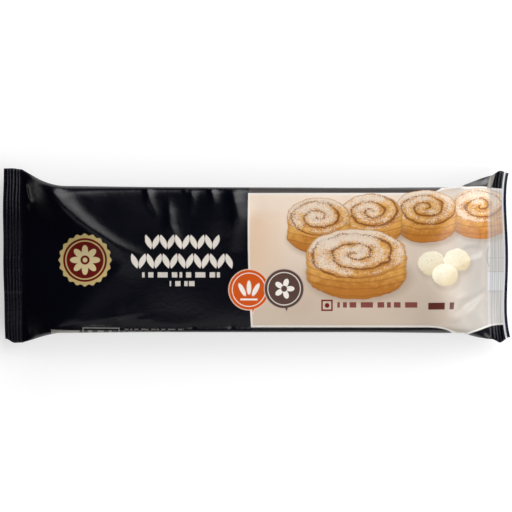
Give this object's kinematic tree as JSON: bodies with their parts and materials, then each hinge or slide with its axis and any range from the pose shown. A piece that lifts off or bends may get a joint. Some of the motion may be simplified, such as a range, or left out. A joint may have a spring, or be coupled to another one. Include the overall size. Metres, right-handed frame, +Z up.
{
  "type": "flow-wrapped pastry pack",
  "caption": "Long flat pastry roll sealed in a glossy printed flow-wrap film pack, with crimped end seals and a folded fin seam underneath.",
  "frame": {"origin": "centre of the pack's outline, on the surface that it lies on", "axes": "+X along the pack, towards the end with the light panel; +Y across it, towards the top of the print; +Z up, out of the printed face"},
  "size_m": [0.3506, 0.1208, 0.0297],
  "materials": {
    "film": "glossy printed film, nearly black at one end with a pinkish cream panel at the other"
  },
  "bodies": {
    "root": {"pack": "film"}
  },
  "joints": []
}
